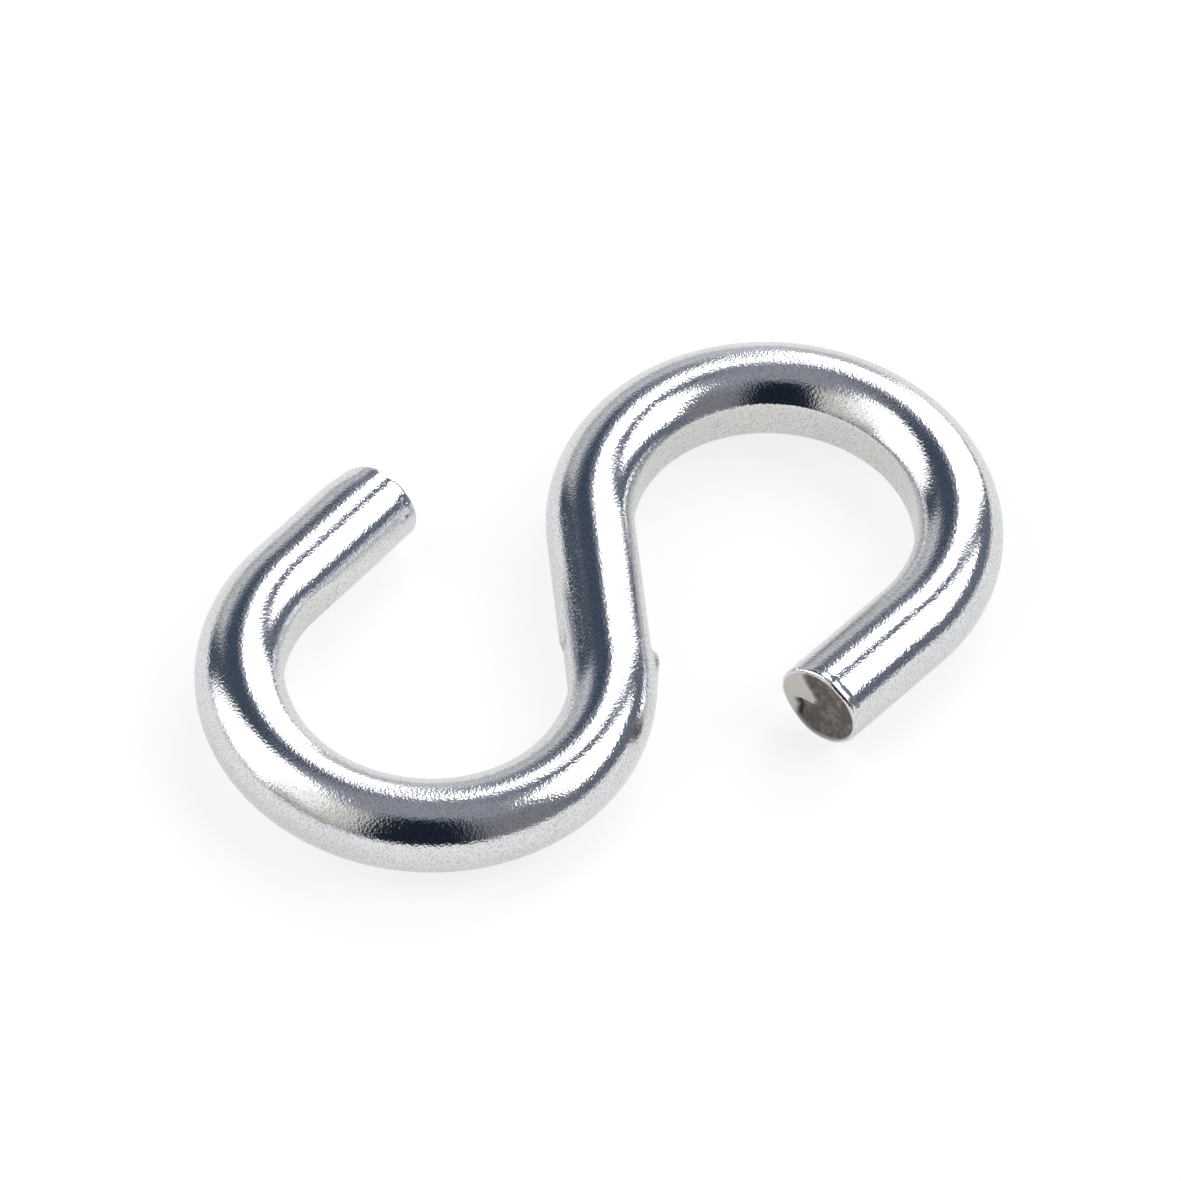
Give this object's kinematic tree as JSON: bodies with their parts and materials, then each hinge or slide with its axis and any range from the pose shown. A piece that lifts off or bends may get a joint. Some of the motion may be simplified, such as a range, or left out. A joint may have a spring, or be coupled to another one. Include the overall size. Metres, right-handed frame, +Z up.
{
  "type": "s hook",
  "caption": "Open S-shaped hook bent from one length of round zinc-plated steel wire, to link a ring, chain or eye to a bar or another hook.",
  "frame": {"origin": "on the floor, under the middle of the hook's outline as it lies flat", "axes": "+X from the left bow to the right bow, along the hook's length; +Z up, across the wire; +Y completes the frame"},
  "size_m": [0.0514, 0.0312, 0.0055],
  "materials": {
    "zinc_plate": "bright zinc plate over mild steel, finely pebbled, with bare sheared steel at the two cut ends"
  },
  "bodies": {
    "root": {"s_hook": "zinc_plate"}
  },
  "joints": []
}
